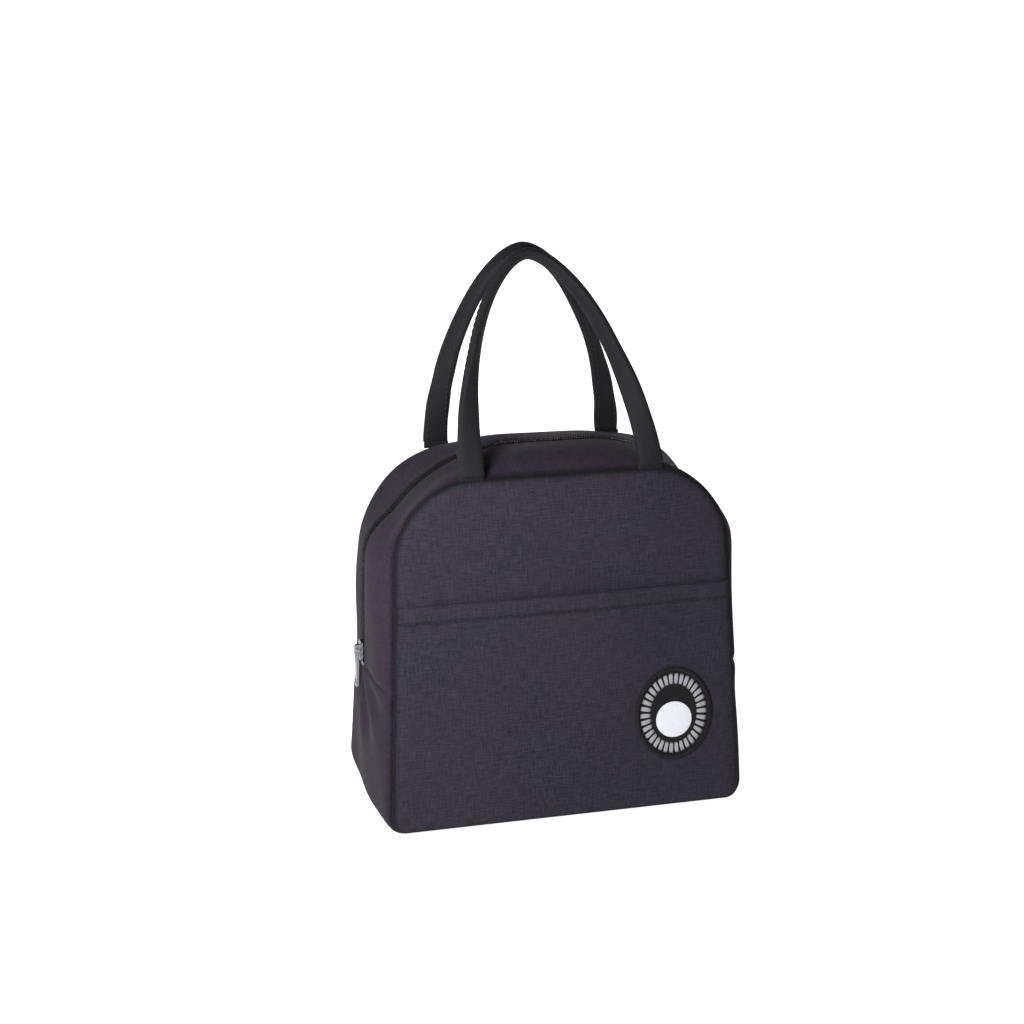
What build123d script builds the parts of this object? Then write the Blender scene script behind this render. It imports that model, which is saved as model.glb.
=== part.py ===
"""Insulated lunch bag with a zipped round top, a front pocket and two standing strap handles.

Frame: origin at the centre of the base, +Z up, +X along the width and -Y towards the front.
Two D-shaped panels lean towards each other, and a gusset joins them, widest half way between.
Every wall has three layers, outer fabric, foam and lining, and a depth is counted inwards from
the outer surface. Above the fold line the two halves of the top open as a mouth.
"""

import os
from math import atan, copysign, cos, pi, radians, sin, tan

from build123d import *

# ---- driving dimensions, mm ------------------------------------------------------------------
base_width = 209.0  # panels at the floor
top_width = 191.0  # panels between their side lines, at the top seam
base_depth = 120.0  # front panel to back panel at the floor
top_depth = 71.0  # front panel to back panel at the top seam
seam_height = 200.0  # top seam of the panels above the floor
base_bulge = 4.0  # gusset half way between the panels, past each side of a panel, at the floor
top_bulge = 9.0  # and at the top
ridge_rise = 8.0  # top of the gusset above the seams, half way between the panels
panel_corner = 48.0
ridge_corner = 54.0
base_corner = 10.0

fabric = 1.0  # outer woven fabric
foam = 3.5  # closed-cell foam
lining = 0.5  # foil lining
binding = 3.0  # bound seam allowance inside, square section

fold_height = 98.0  # where the walls fold when the mouth opens
cut_gap = 0.3  # between pieces of different bodies at the fold

zipper_end_height = 82.0  # bottom end of the zipper on each side
zipper_tail = 8.0  # tape sewn in below that
slot_width = 9.0  # visible zipper between the two bands
strand_gap = 0.8  # between the two coil strands
strand_width = 2.5
strand_proud = 0.2  # coil above the fabric
tape_width = 13.5  # one zipper tape
tape_thickness = 0.6
foam_clearance = 0.3  # between the foam and the edge of the tape
lining_lap = 2.0  # lining past the foam, under the tape
stop_height = 2.0  # metal stop at each zipper end
stop_width = 6.4
stop_proud = 0.5

slider_length = 12.0
slider_width = 8.0
slider_corner = 2.5
slider_plate = 1.2
slider_clearance = 0.3  # plates to coil and tape
slider_rest_gap = 0.5  # slider to stop
post_thickness = 0.4  # joins the two plates, between the coil strands
post_length = 8.0
bridge_width = 2.2
bridge_length = 7.0
bridge_rise = 3.2
bridge_corner = 1.2
pin_radius = 0.8
pin_clearance = 0.1
pin_rise = 1.6  # pin axis above the slider's top plate
ear_radius = 1.2
ear_thickness = 1.1
ear_gap = 0.25  # ear to bridge, each side
pull_thickness = 1.4
pull_length = 22.0  # pin axis to the end of the tab
pull_hole_radius = 1.6

pocket_height = 131.0
pocket_hem = 10.0
pocket_gap = 0.4  # pocket to front panel
pocket_fabric = 1.1
hem_fold = 0.6  # the folded hem is this much thicker
seam_width = 3.0  # sewn rim of the pocket

handle_spacing = 102.0  # centre to centre of the two feet of one handle
strap_width = 14.0  # at the feet
grip_width = 9.0  # at the top
strap_thickness = 5.0
handle_rise = 115.0  # top of the handle's centre line above its feet
handle_skew = -13.0  # sideways offset of the top of the arch
handle_shift = -5.0  # sideways offset of the back handle's feet
handle_gap = 0.5  # between the two handles at the top
handle_seat_gap = 0.5  # strap's foot to the seam
arch_power = 1.7  # 2 is half an ellipse, and less is more pointed
arch_stations = 17
twist = 55.0  # degrees by which a leg turns on its way up
twist_end = 0.65  # share of the rise over which it turns
anchor_height = 2.5
anchor_thickness = 1.0

badge_width = 45.0
badge_height = 54.0
badge_x = 61.5
badge_z = 57.5
badge_thickness = 1.0
border_width = 2.0
border_proud = 0.6
ring_width = 40.0
ring_height = 47.5
ring_band = 6.5
ring_proud = 0.5
disc_diameter = 21.0
disc_drop = 3.5  # disc centre below the badge centre
disc_proud = 0.8

# ---- derived values --------------------------------------------------------------------------
ridge_base_width = base_width + 2 * base_bulge
ridge_top_width = top_width + 2 * top_bulge
ridge_height = seam_height + ridge_rise
lean = atan((base_depth - top_depth) / 2 / seam_height)
side_lean = atan((ridge_base_width - ridge_top_width) / 2 / ridge_height)
roof_slope = ridge_rise / (top_depth / 2)
foam_depth = fabric + foam
wall = foam_depth + lining
tape_depth = fabric + tape_thickness
slot_half = slot_width / 2
strand_inner = strand_gap / 2
strand_outer = strand_inner + strand_width
tape_outer = strand_inner + tape_width
foam_edge = tape_outer + foam_clearance
lining_edge = foam_edge - lining_lap
tail_height = zipper_end_height - zipper_tail
coil_start = zipper_end_height + stop_height
pocket_face = -(pocket_gap + pocket_fabric)  # depth of the pocket's outer face
far = 2 * (ridge_base_width + ridge_height)  # larger than the bag
upper_start = fold_height + cut_gap
fold_plane = Plane.XY.offset(fold_height)
upper_plane = Plane.XY.offset(upper_start)
os.makedirs("parts", exist_ok=True)


def finish(part, label):
    """Names a finished piece and writes it."""
    part.label = label
    export_step(part, f"parts/{label}.step")


def ridge_half(height):
    """Half the width of the gusset half way between the panels, below its round corners."""
    return ridge_base_width / 2 - height * tan(side_lean)


def panel_half(height):
    """Half the width of a panel, below its round corners."""
    return (base_width - (base_width - top_width) * height / seam_height) / 2


def panel_reach(height):
    """Distance from the middle of the bag to a panel's outer face."""
    return base_depth / 2 - height * tan(lean)


# ---- the bag's outer form --------------------------------------------------------------------
def panel_plane(side, depth):
    """Plane of the front (side -1) or back (side 1) panel at a depth, facing the front."""
    origin = (0, side * (base_depth / 2 - depth / cos(lean)), 0)
    return Plane(origin=origin, x_dir=(1, 0, 0), z_dir=(0, -cos(lean), -side * sin(lean)))


def outline(plane, base, top, low, high, top_corner, bottom_corner):
    """Face with two leaning sides, two round top corners and two round bottom corners."""
    with BuildSketch(plane) as face:
        with BuildLine():
            Polyline((-base, low), (base, low), (top, high), (-top, high), close=True)
        make_face()
        fillet(face.vertices().group_by(Axis.Y)[-1], top_corner)
        fillet(face.vertices().group_by(Axis.Y)[0], bottom_corner)
    return face.sketch


def panel_outline(side, depth, inset):
    """A panel's outline on its plane at a depth, with every edge moved in by the inset."""
    return outline(
        panel_plane(side, depth),
        base_width / 2 - inset,
        top_width / 2 - inset,
        inset / cos(lean),
        (seam_height - inset) / cos(lean),
        panel_corner - inset,
        max(base_corner - inset, lining),
    )


def ridge_outline(depth):
    """The gusset's outline half way between the panels, at a depth."""
    return outline(
        Plane.XZ,
        ridge_base_width / 2 - depth,
        ridge_top_width / 2 - depth,
        depth,
        ridge_height - depth,
        ridge_corner - depth,
        max(base_corner - depth, lining),
    )


def envelope(depth):
    """The whole bag as a solid whose surface lies at a depth."""
    with BuildPart() as body:
        sections = [panel_outline(-1, depth, depth), ridge_outline(depth), panel_outline(1, depth, depth)]
        loft(sections, ruled=True)
    return body.part


def tube(outer, inner):
    """The gusset's layer between two depths, all round, open at the front and back."""
    with BuildPart() as ring:
        add(envelope(outer))
        split(bisect_by=panel_plane(-1, inner), keep=Keep.BOTTOM)
        split(bisect_by=panel_plane(1, inner), keep=Keep.TOP)
        add(envelope(inner), mode=Mode.SUBTRACT)
    return ring.part


def slab(outer, inner):
    """The front panel's layer between two depths."""
    with BuildPart() as plate:
        add(envelope(outer))
        split(bisect_by=panel_plane(-1, inner), keep=Keep.TOP)
    return plate.part


def lower(part):
    """What lies below the fold."""
    with BuildPart() as piece:
        add(part)
        split(bisect_by=fold_plane, keep=Keep.BOTTOM)
    return piece.part


def upper(part):
    """What lies above the fold."""
    with BuildPart() as piece:
        add(part)
        split(bisect_by=upper_plane, keep=Keep.TOP)
    return piece.part


def strip(part, near, far_edge):
    """What lies in front of the middle by between two distances."""
    with BuildPart() as piece:
        add(part)
        split(bisect_by=Plane.XZ.offset(near), keep=Keep.TOP)
        split(bisect_by=Plane.XZ.offset(far_edge), keep=Keep.BOTTOM)
    return piece.part


def front_and_back(part, name):
    """Writes a piece of the front half and its mirror image at the back."""
    finish(part, f"front_{name}")
    with BuildPart() as image:
        mirror(part, about=Plane.XZ)
    finish(image.part, f"back_{name}")


# ---- walls: outer fabric, foam and lining ----------------------------------------------------
wall_layers = {
    "panel": (0.0, fabric, slot_half, zipper_end_height),
    "foam": (fabric, foam_depth, foam_edge, tail_height - foam_clearance),
    "lining": (foam_depth, wall, lining_edge, tail_height - foam_clearance + lining_lap),
}
side_names = {"panel": "gusset", "foam": "gusset_foam", "lining": "gusset_lining"}
band_names = {"panel": "zip_band", "foam": "zip_band_foam", "lining": "zip_band_lining"}

for layer, (outer, inner, slot, slot_start) in wall_layers.items():
    with BuildPart() as panel_layer:
        add(slab(outer, inner))
    front_and_back(lower(panel_layer.part), f"{layer}_lower")
    front_and_back(upper(panel_layer.part), f"{layer}_upper")

    with BuildPart() as gusset_layer:
        add(tube(outer, inner))
        with BuildSketch(Plane.XY.offset(slot_start)):
            Rectangle(far, 2 * slot)
        extrude(amount=far, mode=Mode.SUBTRACT)
    finish(lower(gusset_layer.part), side_names[layer] + "_lower")
    front_and_back(strip(upper(gusset_layer.part), slot, far), band_names[layer])

# ---- bound seams inside, between each panel and the gusset -----------------------------------
with BuildPart() as seam_binding:
    add(slab(wall, wall + binding))
    extrude(panel_outline(-1, wall, wall + binding), amount=2 * binding, both=True, mode=Mode.SUBTRACT)
front_and_back(lower(seam_binding.part), "binding_lower")
front_and_back(upper(seam_binding.part), "binding_upper")

# ---- zipper: tapes, coil strands and stops ---------------------------------------------------
with BuildPart() as tape_half:
    add(strip(tube(fabric, tape_depth), strand_inner, tape_outer))
    split(bisect_by=Plane.XY.offset(tail_height), keep=Keep.TOP)
with BuildPart() as coil_half:
    add(strip(tube(-strand_proud, fabric), strand_inner, strand_outer))
    split(bisect_by=Plane.XY.offset(coil_start), keep=Keep.TOP)
front_and_back(upper(tape_half.part), "zipper_tape")
front_and_back(upper(coil_half.part), "zipper_coil")

for side_name, keep in {"left": Keep.BOTTOM, "right": Keep.TOP}.items():
    for name, half in {"zipper_end_tape": tape_half, "zipper_end_coil": coil_half}.items():
        with BuildPart() as zipper_end:
            add(lower(half.part))
            split(bisect_by=Plane.YZ, keep=keep)
            mirror(about=Plane.XZ)
        finish(zipper_end.part, f"{side_name}_{name}")
    with BuildPart() as zipper_stop:
        add(tube(-stop_proud, fabric))
        split(bisect_by=Plane.XY.offset(zipper_end_height), keep=Keep.TOP)
        split(bisect_by=Plane.XY.offset(coil_start), keep=Keep.BOTTOM)
        split(bisect_by=Plane.XZ.offset(stop_width / 2), keep=Keep.BOTTOM)
        split(bisect_by=Plane.XZ.offset(-stop_width / 2), keep=Keep.TOP)
        split(bisect_by=Plane.YZ, keep=keep)
    finish(zipper_stop.part, f"{side_name}_zipper_stop")

# ---- slider and pull, on the left end of the zipper ------------------------------------------
slider_height = coil_start + slider_rest_gap + slider_length / 2
outwards = (-cos(side_lean), 0, sin(side_lean))
slider_plane = Plane(origin=(-ridge_half(slider_height), 0, slider_height), x_dir=(0, -1, 0), z_dir=outwards)
plate_bottom = strand_proud + slider_clearance
plate_top = plate_bottom + slider_plate
travel_end = ridge_height - ridge_corner
gusset_bow = (ridge_half(travel_end) - panel_half(travel_end)) / panel_reach(travel_end)
under_top = -(tape_depth + slider_clearance + gusset_bow * slider_width / 2)
bore_plane = Plane(origin=slider_plane.origin, x_dir=slider_plane.y_dir, z_dir=slider_plane.x_dir)
pin_level = plate_top + pin_rise  # above the fabric

with BuildPart() as zip_slider:
    with BuildSketch(slider_plane.offset(plate_bottom)):
        RectangleRounded(slider_width, slider_length, slider_corner)
    extrude(amount=slider_plate)
    with BuildSketch(slider_plane.offset(under_top)):
        RectangleRounded(slider_width, slider_length, slider_corner)
    extrude(amount=-slider_plate)
    with BuildSketch(slider_plane.offset(under_top)):
        Rectangle(post_thickness, post_length)
    extrude(amount=plate_bottom - under_top)
    with BuildSketch(bore_plane) as bridge:
        with Locations((0, plate_top + bridge_rise / 2)):
            Rectangle(bridge_length, bridge_rise)
        fillet(bridge.vertices().group_by(Axis.Y)[-1], bridge_corner)
        with Locations((0, pin_level)):
            Circle(pin_radius + pin_clearance, mode=Mode.SUBTRACT)
    extrude(amount=bridge_width / 2, both=True)
finish(zip_slider.part, "zip_slider")

ear_start = bridge_width / 2 + ear_gap
ear_end = ear_start + ear_thickness
with BuildPart() as zip_pull:
    with BuildSketch(bore_plane):
        with Locations((0, pin_level)):
            Circle(pin_radius)
    extrude(amount=ear_end, both=True)
    with BuildSketch(bore_plane.offset(ear_start)):
        with Locations((0, pin_level)):
            Circle(ear_radius)
        with Locations((-bridge_length / 2, pin_level)):
            Rectangle(bridge_length, pull_thickness)
    extrude(amount=ear_thickness)
    mirror(about=bore_plane)
    with BuildSketch(slider_plane.offset(pin_level - pull_thickness / 2)):
        with Locations((0, -(bridge_length + pull_length) / 2)):
            RectangleRounded(2 * ear_end, pull_length - bridge_length, ear_end / 2)
        with Locations((0, -bridge_length - ear_end / 2)):
            Rectangle(2 * ear_end, ear_end)
        with Locations((0, -pull_length + 2 * pull_hole_radius)):
            Circle(pull_hole_radius, mode=Mode.SUBTRACT)
    extrude(amount=pull_thickness)
finish(zip_pull.part, "zip_pull")

# ---- front pocket ----------------------------------------------------------------------------
hem_start = Plane.XY.offset(pocket_height - pocket_hem)
hem_end = Plane.XY.offset(pocket_height)
with BuildPart() as pocket_sheet:
    extrude(panel_outline(-1, -pocket_gap, 0), amount=pocket_fabric)
    split(bisect_by=hem_start, keep=Keep.BOTTOM)
finish(lower(pocket_sheet.part), "pocket_sheet_lower")
finish(upper(pocket_sheet.part), "pocket_sheet_upper")

with BuildPart() as pocket_hem_fold:
    extrude(panel_outline(-1, -pocket_gap, 0), amount=pocket_fabric + hem_fold)
    split(bisect_by=hem_start, keep=Keep.TOP)
    split(bisect_by=hem_end, keep=Keep.BOTTOM)
finish(pocket_hem_fold.part, "pocket_hem")

with BuildPart() as pocket_seam:
    extrude(panel_outline(-1, 0, 0), amount=pocket_gap)
    extrude(panel_outline(-1, 0, seam_width), amount=pocket_gap, mode=Mode.SUBTRACT)
    split(bisect_by=hem_end, keep=Keep.BOTTOM)
finish(lower(pocket_seam.part), "pocket_seam_lower")
finish(upper(pocket_seam.part), "pocket_seam_upper")

# ---- badge, sewn on the pocket ---------------------------------------------------------------
badge_plane = panel_plane(-1, pocket_face)
badge_face = badge_plane.offset(badge_thickness)
badge_place = (badge_x, badge_z / cos(lean))
with BuildPart() as badge_patch:
    with BuildSketch(badge_plane):
        with Locations(badge_place):
            Ellipse(badge_width / 2 - border_width, badge_height / 2 - border_width)
    extrude(amount=badge_thickness)
finish(badge_patch.part, "badge_patch")

with BuildPart() as badge_border:
    with BuildSketch(badge_plane):
        with Locations(badge_place):
            Ellipse(badge_width / 2, badge_height / 2)
            Ellipse(badge_width / 2 - border_width, badge_height / 2 - border_width, mode=Mode.SUBTRACT)
    extrude(amount=badge_thickness + border_proud)
finish(badge_border.part, "badge_border")

with BuildPart() as badge_ring:
    with BuildSketch(badge_face):
        with Locations(badge_place):
            Ellipse(ring_width / 2, ring_height / 2)
            Ellipse(ring_width / 2 - ring_band, ring_height / 2 - ring_band, mode=Mode.SUBTRACT)
    extrude(amount=ring_proud)
finish(badge_ring.part, "badge_ring")

with BuildPart() as badge_disc:
    with BuildSketch(badge_face):
        with Locations((badge_x, (badge_z - disc_drop) / cos(lean))):
            Circle(disc_diameter / 2)
    extrude(amount=disc_proud)
finish(badge_disc.part, "badge_disc")

# ---- handles ---------------------------------------------------------------------------------
foot_y = -top_depth / 2
foot_z = seam_height + roof_slope * strap_thickness / 2 + handle_seat_gap
half_turned = (grip_width * sin(radians(twist)) + strap_thickness * cos(radians(twist))) / 2
apex_y = -handle_gap / 2 - half_turned


def arch_rise(turn):
    """Share of the handle's rise, for a turn of 0 (right foot) to pi (left foot)."""
    return abs(sin(turn)) ** (2 / arch_power)


def arch_point(turn, shift):
    """Point of a handle's centre line, at the front, with the feet moved sideways by the shift."""
    across = copysign(abs(cos(turn)) ** (2 / arch_power), cos(turn))
    rise = arch_rise(turn)
    return Vector(
        shift + handle_spacing / 2 * across + (handle_skew - shift) * rise,
        foot_y + (apex_y - foot_y) * rise,
        foot_z + handle_rise * rise,
    )


def arch_plane(turn, shift):
    """Section plane of the strap: its local x runs along the strap's width."""
    point = arch_point(turn, shift)
    if turn in (0, pi):
        return Plane(origin=point, x_dir=(1, 0, 0), z_dir=(0, 0, copysign(1, cos(turn))))
    step = 0.01
    along = (arch_point(turn + step, shift) - arch_point(turn - step, shift)).normalized()
    share = min(arch_rise(turn) / twist_end, 1)
    turned = -radians(twist) * (3 * share**2 - 2 * share**3)
    sideways = Vector(0, 1, 0).cross(along).normalized() * copysign(1, cos(turn))
    across = sideways * cos(turned) + along.cross(sideways) * sin(turned)
    return Plane(origin=point, x_dir=across, z_dir=along)


for side_name, shift in {"front": 0, "back": handle_shift}.items():
    with BuildPart() as handle:
        for station in range(arch_stations):
            turn = pi * station / (arch_stations - 1)
            with BuildSketch(arch_plane(turn, shift)):
                Rectangle(strap_width + (grip_width - strap_width) * arch_rise(turn), strap_thickness)
        loft(ruled=True)
    with BuildPart() as handle_anchors:
        with BuildSketch(panel_plane(-1, 0)):
            with Locations((shift, (seam_height - anchor_height / 2) / cos(lean))):
                with GridLocations(handle_spacing, 1, 2, 1):
                    Rectangle(strap_width, anchor_height)
        extrude(amount=anchor_thickness)
    for name, part in {"handle": handle.part, "handle_anchors": handle_anchors.part}.items():
        with BuildPart() as placed:
            if side_name == "front":
                add(part)
            else:
                mirror(part, about=Plane.XZ)
        finish(placed.part, f"{side_name}_{name}")
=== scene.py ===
# %% [markdown]
# # An insulated lunch bag, built from surfaces
# The bag is a soft box: two D-shaped panels, and a long strip of cloth, the gusset, that goes all the way
# round between them. Every wall is a sandwich of woven cloth, foam and foil. The CAD model already holds
# each piece at its real size, so these cells only give the cloth its shape, seams, stitches and finish.
# Each surface is a grid of points worked out with numpy from a formula, and then put into a mesh.

# %% Load the frame
import math

import bmesh
import bpy
import numpy as np
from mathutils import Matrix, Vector


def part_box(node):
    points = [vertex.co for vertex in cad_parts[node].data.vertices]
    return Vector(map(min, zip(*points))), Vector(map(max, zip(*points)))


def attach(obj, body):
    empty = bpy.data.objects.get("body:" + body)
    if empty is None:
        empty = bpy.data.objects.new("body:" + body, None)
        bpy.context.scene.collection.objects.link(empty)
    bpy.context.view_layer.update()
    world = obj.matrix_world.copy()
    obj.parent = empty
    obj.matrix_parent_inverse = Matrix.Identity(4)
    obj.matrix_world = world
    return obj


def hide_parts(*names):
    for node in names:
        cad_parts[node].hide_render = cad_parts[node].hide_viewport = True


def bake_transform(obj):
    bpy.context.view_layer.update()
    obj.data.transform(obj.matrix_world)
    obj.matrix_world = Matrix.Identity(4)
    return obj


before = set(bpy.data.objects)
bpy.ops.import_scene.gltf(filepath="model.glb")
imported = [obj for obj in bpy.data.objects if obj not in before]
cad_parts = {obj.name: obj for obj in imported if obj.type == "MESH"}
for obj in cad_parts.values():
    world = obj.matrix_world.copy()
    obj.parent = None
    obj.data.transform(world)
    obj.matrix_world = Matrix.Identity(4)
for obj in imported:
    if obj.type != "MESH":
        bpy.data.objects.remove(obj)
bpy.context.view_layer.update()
MM = 0.001

# %% [markdown]
# ## Camera
# The camera stands a little more than a metre away, to the left of the front, and looks down a little, so
# that the front, the left side and the top all show. A long lens from that far keeps upright edges nearly
# parallel. A short lens close by would show the same sides but make the front corner look swollen.

# %% Camera
CAMERA_PLACE = Vector((-299.8, -1076.8, 536.7)) * MM
CAMERA_AIM = Vector((-19.5, 0.0, 166.4)) * MM
CAMERA_ROLL = math.radians(0.36)
LENS, SENSOR = 72.64, 36  # the focal length and the sensor's width, both in mm

camera_data = bpy.data.cameras.new("camera")
camera_data.lens = LENS
camera_data.sensor_width = SENSOR
camera = bpy.data.objects.new("camera", camera_data)
camera.location = CAMERA_PLACE
turn = (CAMERA_AIM - CAMERA_PLACE).to_track_quat("-Z", "Y").to_matrix().to_4x4()
camera.rotation_euler = (turn @ turn.Rotation(CAMERA_ROLL, 4, "Z")).to_euler()
bpy.context.scene.collection.objects.link(camera)
bpy.context.scene.camera = camera
bpy.context.scene.view_settings.view_transform = "Standard"  # so that a white sheet comes out white
print("camera distance, mm:", round((CAMERA_AIM - CAMERA_PLACE).length / MM))

# %% [markdown]
# ## Colours and nodes
# Cloth colours are easiest to choose as the hex codes of a paint chart, but a renderer adds up light, so it
# needs linear numbers. One function turns a code into them. Materials are built from nodes by one small
# helper, so that each node takes one line that reads from left to right: the kind, what feeds it, settings.

# %% Colours and the one node helper
def linear(code):
    """Linear RGBA of an sRGB hex colour: the low end is a straight line and the rest a power of 2.4."""
    value = np.array([int(code[i:i + 2], 16) for i in (1, 3, 5)]) / 255
    value = np.where(value <= 0.04045, value / 12.92, ((value + 0.055) / 1.055) ** 2.4)
    return (*value, 1.0)


def add(tree, kind, links=None, **settings):
    """Adds a node. links maps its inputs to other nodes' outputs; settings are sockets or properties."""
    node = tree.nodes.new(kind)
    for key, value in settings.items():
        if hasattr(node, key) and not key[0].isupper():
            setattr(node, key, value)
        else:
            node.inputs[int(key[1:]) if key[0] == "_" else key.replace("_", " ")].default_value = value
    for key, output in (links or {}).items():
        tree.links.new(output, node.inputs[key])
    return node


def new_material(name, base, roughness, **sockets):
    """An empty material with one Principled shader. Returns the material, its tree and the shader."""
    material = bpy.data.materials.new(name)
    material.use_nodes = True
    tree = material.node_tree
    shader = tree.nodes["Principled BSDF"]
    shader.inputs["Base Color"].default_value = linear(base)
    shader.inputs["Roughness"].default_value = roughness
    for key, value in sockets.items():
        shader.inputs[key.replace("_", " ")].default_value = value
    material.diffuse_color = linear(base)
    return material, tree, shader


print("mid grey in linear light:", round(linear("#808080")[0], 3))

# %% [markdown]
# ## Floor, room and lamps
# Small goods are often shown on a sheet of white acrylic that is lit from below, which hides every shadow.
# A plain floor under soft lamps would also do, but dark cloth would then stand on grey. The room has a white
# wall behind the sheet and is dim above it. The key lamp is small and close, at the front left, so the front
# darkens slowly to the right. A wide lamp further off, behind the bag, lights its back softly.

# %% Floor
floor_sheet, _, floor_shader = new_material("backlit_white_acrylic", "#C8C8C8", 0.6)
floor_shader.inputs["Emission Color"].default_value = linear("#FFFFFF")
floor_shader.inputs["Emission Strength"].default_value = 0.95
FLOOR_HALF = 30.0
floor_corners = [(FLOOR_HALF * a, FLOOR_HALF * b, 0) for a, b in ((-1, -1), (1, -1), (1, 1), (-1, 1))]
floor_mesh = bpy.data.meshes.new("floor")
floor_mesh.from_pydata(floor_corners, [], [(0, 1, 2, 3)])
floor = bpy.data.objects.new("floor", floor_mesh)
floor.data.materials.append(floor_sheet)
bpy.context.scene.collection.objects.link(floor)
print("floor, m:", 2 * FLOOR_HALF)

# %% Room
WALL_TOP = 0.25, 0.33  # sines of the angles above the horizon where the white wall starts and stops fading
WALL_LIGHT, ROOM_LIGHT = 1.0, 0.05
world = bpy.data.worlds.new("studio")
world.use_nodes = True
background = world.node_tree.nodes["Background"]
background.inputs["Color"].default_value = linear("#FFFFFF")
direction = add(world.node_tree, "ShaderNodeTexCoord").outputs["Generated"]
height = add(world.node_tree, "ShaderNodeSeparateXYZ", {"Vector": direction}).outputs["Z"]
fade = add(world.node_tree, "ShaderNodeMapRange", {"Value": height}, From_Min=WALL_TOP[0],
           From_Max=WALL_TOP[1], To_Min=WALL_LIGHT, To_Max=ROOM_LIGHT)
world.node_tree.links.new(fade.outputs[0], background.inputs["Strength"])
bpy.context.scene.world = world
print("the wall fades out at, degrees:", round(math.degrees(math.asin(WALL_TOP[1]))))


# %% Lamps
def lamp(name, place, aim, size, power):
    """A square soft lamp at a place, pointing at an aim point, that doesn't show itself."""
    data = bpy.data.lights.new(name, "AREA")
    data.shape = "SQUARE"
    data.size = size
    data.energy = power
    thing = bpy.data.objects.new(name, data)
    thing.location = place
    thing.rotation_euler = (Vector(aim) - Vector(place)).to_track_quat("-Z", "Y").to_euler()
    thing.visible_camera = False
    bpy.context.scene.collection.objects.link(thing)


BAG_MIDDLE = (0, 0, 0.12)
lamp("key_lamp", (-0.31, -0.36, 0.36), BAG_MIDDLE, 0.2, 6.1)
lamp("fill_lamp", (0.6, 1.3, 0.45), BAG_MIDDLE, 0.9, 7)

# %% [markdown]
# ## The bag's outline
# The outline is a trapezium with round corners. The seam between a panel and the gusset follows it, and so
# does the ridge half way between the panels, a little wider and taller. A curve object could draw it too,
# but here both lines get the same number of points on each straight side and each corner, so that the
# gusset is a plain grid between them.

# %% Sizes
BASE_HALF, TOP_HALF = 104.5 * MM, 95.5 * MM  # half the panel's width, at the floor and at the top seam
BASE_REACH, TOP_REACH = 60.0 * MM, 35.5 * MM  # middle of the bag to the panel, at the floor and the top
SEAM_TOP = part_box("front_panel_upper")[1].z
RIDGE_RISE = 8 * MM  # how far the ridge stands above the seam
RIDGE_TOP = SEAM_TOP + RIDGE_RISE
BASE_BULGE, TOP_BULGE = 4.0 * MM, 9.0 * MM  # how far the ridge stands out, at the floor and at the top
PANEL_CORNER, RIDGE_CORNER, BASE_CORNER = 48 * MM, 54 * MM, 10 * MM
LEAN = math.atan((BASE_REACH - TOP_REACH) / SEAM_TOP)
CLOTH, FOAM, FOIL = 1.0 * MM, 3.5 * MM, 0.5 * MM
POINTS = {"base": 48, "base_corner": 10, "side": 72, "top_corner": 40, "top": 50}
print("top seam at, mm:", round(SEAM_TOP / MM), "lean, degrees:", round(math.degrees(LEAN), 1))


# %% The outline as a loop of points
def corner_arc(before, corner, after, radius, count):
    """Points of the arc that rounds a corner: the circle of that radius that touches both sides."""
    back, ahead = before - corner, after - corner
    back, ahead = back / np.linalg.norm(back), ahead / np.linalg.norm(ahead)
    half = math.acos(back @ ahead) / 2
    centre = corner + (back + ahead) / np.linalg.norm(back + ahead) * radius / math.sin(half)
    start = corner + back * radius / math.tan(half) - centre
    angle = np.linspace(0, math.pi - 2 * half, count)[:, None]
    side = np.array([start[1], -start[0]]) * np.sign(np.cross(back, ahead))
    return centre + start * np.cos(angle) + side * np.sin(angle)


def outline(base_half, top_half, low, high, top_corner, base_corner):
    """Closed loop (x, z) from the middle of the base, up the left side, over the top and down the right."""
    base, top = np.array([-base_half, low]), np.array([-top_half, high])
    mirror = np.array([-1.0, 1.0])
    lower = corner_arc(base * mirror, base, top, base_corner, POINTS["base_corner"])
    upper = corner_arc(base, top, top * mirror, top_corner, POINTS["top_corner"])
    left = np.concatenate([
        np.linspace([0, low], lower[0], POINTS["base"] // 2, endpoint=False),
        lower[:-1],
        np.linspace(lower[-1], upper[0], POINTS["side"], endpoint=False),
        upper[:-1],
        np.linspace(upper[-1], [0, high], POINTS["top"] // 2, endpoint=False),
    ])
    return np.concatenate([left, [[0, high]], (left * mirror)[:0:-1]])


SEAM = outline(BASE_HALF, TOP_HALF, 0, SEAM_TOP, PANEL_CORNER, BASE_CORNER)
RIDGE = outline(BASE_HALF + BASE_BULGE, TOP_HALF + TOP_BULGE, 0, RIDGE_TOP, RIDGE_CORNER, BASE_CORNER)
seam_length = np.linalg.norm(np.diff(SEAM, axis=0), axis=1).sum()
print("outline points:", len(SEAM), "seam length, mm:", round(seam_length / MM))


# %% Small helpers for shapes
WAVE_COUNT = 7


def waves(a, b, length, seed):
    """Smooth random hills between -1 and 1: a sum of plane waves with seeded directions and phases."""
    dice = np.random.default_rng(seed)
    angle, phase = dice.uniform(0, 2 * np.pi, (2, WAVE_COUNT))
    stretch = dice.uniform(0.6, 1.5, WAVE_COUNT) * 2 * np.pi / length
    shape = (1,) * np.ndim(a) + (-1,)
    way_a, way_b = (stretch * np.cos(angle)).reshape(shape), (stretch * np.sin(angle)).reshape(shape)
    return np.cos(np.expand_dims(a, -1) * way_a + np.expand_dims(b, -1) * way_b + phase).mean(-1) * 1.8


def smooth(value):
    """0 below 0, 1 above 1, and an S-shaped rise between: 3t^2 - 2t^3."""
    t = np.clip(value, 0, 1)
    return t * t * (3 - 2 * t)


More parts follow.
